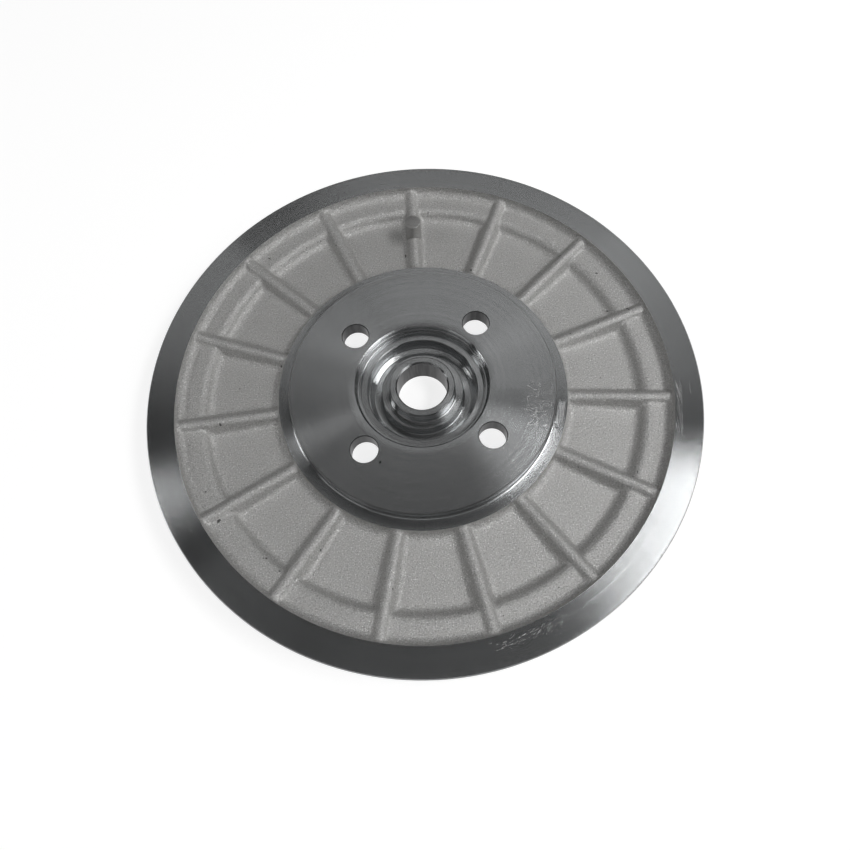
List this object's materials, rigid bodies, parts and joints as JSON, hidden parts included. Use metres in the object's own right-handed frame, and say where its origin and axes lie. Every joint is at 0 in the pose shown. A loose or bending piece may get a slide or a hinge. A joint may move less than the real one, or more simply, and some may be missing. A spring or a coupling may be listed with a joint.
{
  "type": "turbocharger compressor back plate",
  "caption": "Round cast aluminium back plate of a turbocharger compressor, with a ribbed floor, turned rim and centre pad, shaft bore and bolt holes.",
  "frame": {"origin": "on the axis of the shaft bore, at the flat turned underside that it rests on", "axes": "+Z along the bore axis towards the ribbed side, +Y through the rib that carries the locating stub"},
  "size_m": [0.182, 0.182, 0.0145],
  "materials": {
    "cast_aluminium": "fine as-cast grain on the ribbed floor, lathe-turned on the rim, pad, hub and underside"
  },
  "bodies": {
    "root": {"back_plate": "cast_aluminium"}
  },
  "joints": []
}
